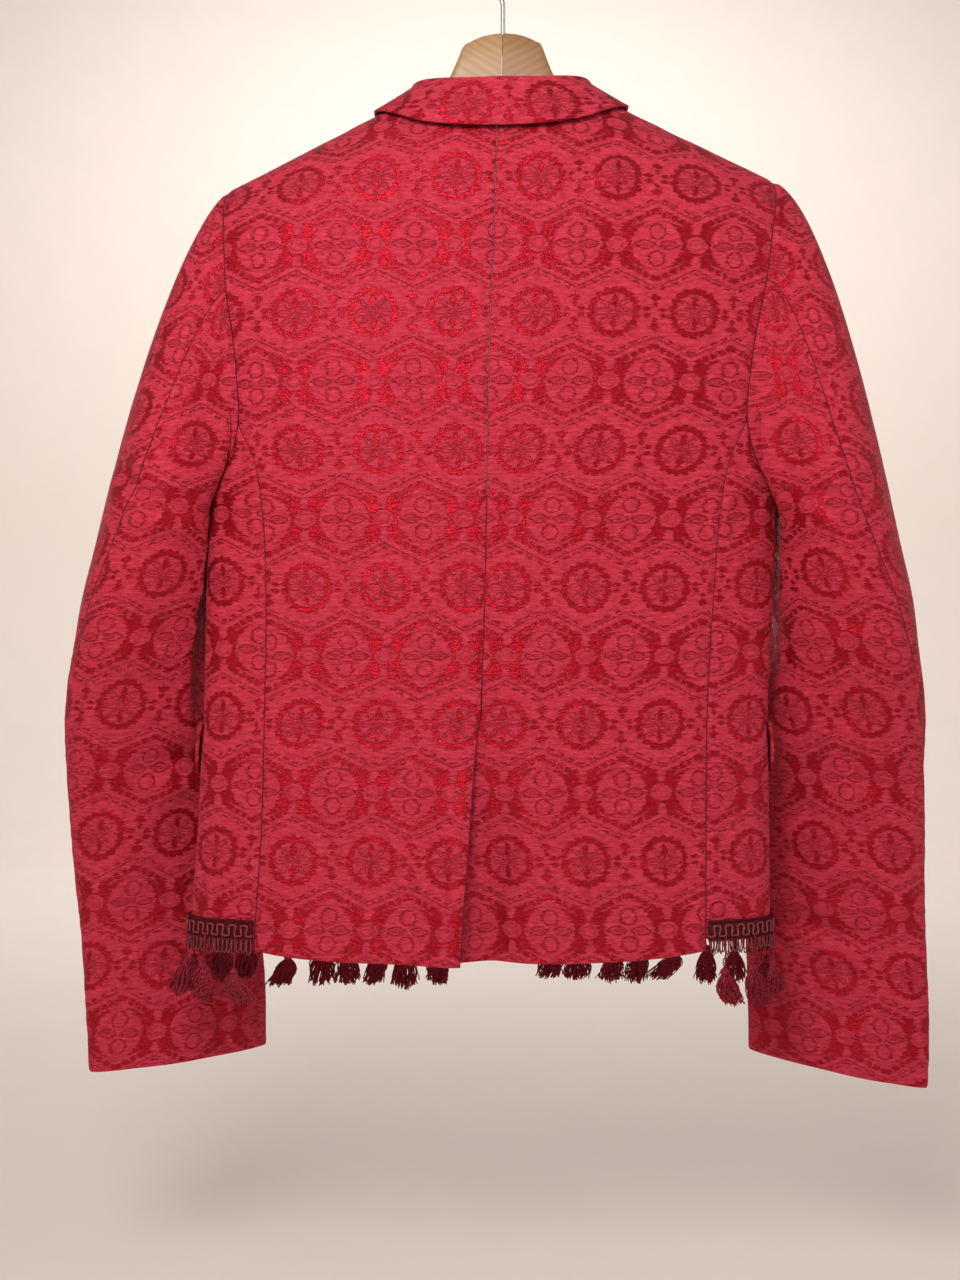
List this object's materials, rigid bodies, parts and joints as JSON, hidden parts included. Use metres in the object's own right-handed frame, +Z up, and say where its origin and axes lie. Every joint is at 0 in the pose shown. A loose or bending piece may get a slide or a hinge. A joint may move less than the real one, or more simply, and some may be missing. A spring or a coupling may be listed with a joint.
{
  "type": "brocade blazer on a wooden hanger",
  "caption": "Short brocade blazer with a notched collar, two-piece sleeves, centre back vent, flap pockets and tasselled braid at the hem, hanging on a wooden coat hanger with a wire hook.",
  "frame": {"origin": "inside top of the hanger's hook, where a rail or wall hook carries it", "axes": "+Z up, the jacket's front faces -Y and its back +Y, +X towards the wearer's left"},
  "size_m": [0.6452, 0.1485, 0.8575],
  "materials": {
    "brocade_body": "raised matt figure on a satin ground",
    "brocade_sleeve": "raised matt figure on a satin ground",
    "brocade_collar": "raised matt figure on a satin ground",
    "trim": "twisted silky cord",
    "button": "polished",
    "wood_light": "clear satin varnish",
    "wood_dark": "clear satin varnish",
    "wire": "polished"
  },
  "bodies": {
    "root": {"back_left": "brocade_body", "side_left": "brocade_body", "front_left": "brocade_body", "sleeve_left_upper": "brocade_sleeve", "sleeve_left_under": "brocade_sleeve", "lapel_left": "brocade_collar", "pocket_flap_left": "brocade_body", "trim_side_left": "trim", "trim_front_left": "trim", "back_right": "brocade_body", "side_right": "brocade_body", "front_right": "brocade_body", "sleeve_right_upper": "brocade_sleeve", "sleeve_right_under": "brocade_sleeve", "lapel_right": "brocade_collar", "pocket_flap_right": "brocade_body", "trim_side_right": "trim", "trim_front_right": "trim", "collar": "brocade_collar", "front_button": "button", "hanger_left": "wood_light", "hanger_right": "wood_dark", "hook": "wire"}
  },
  "joints": []
}
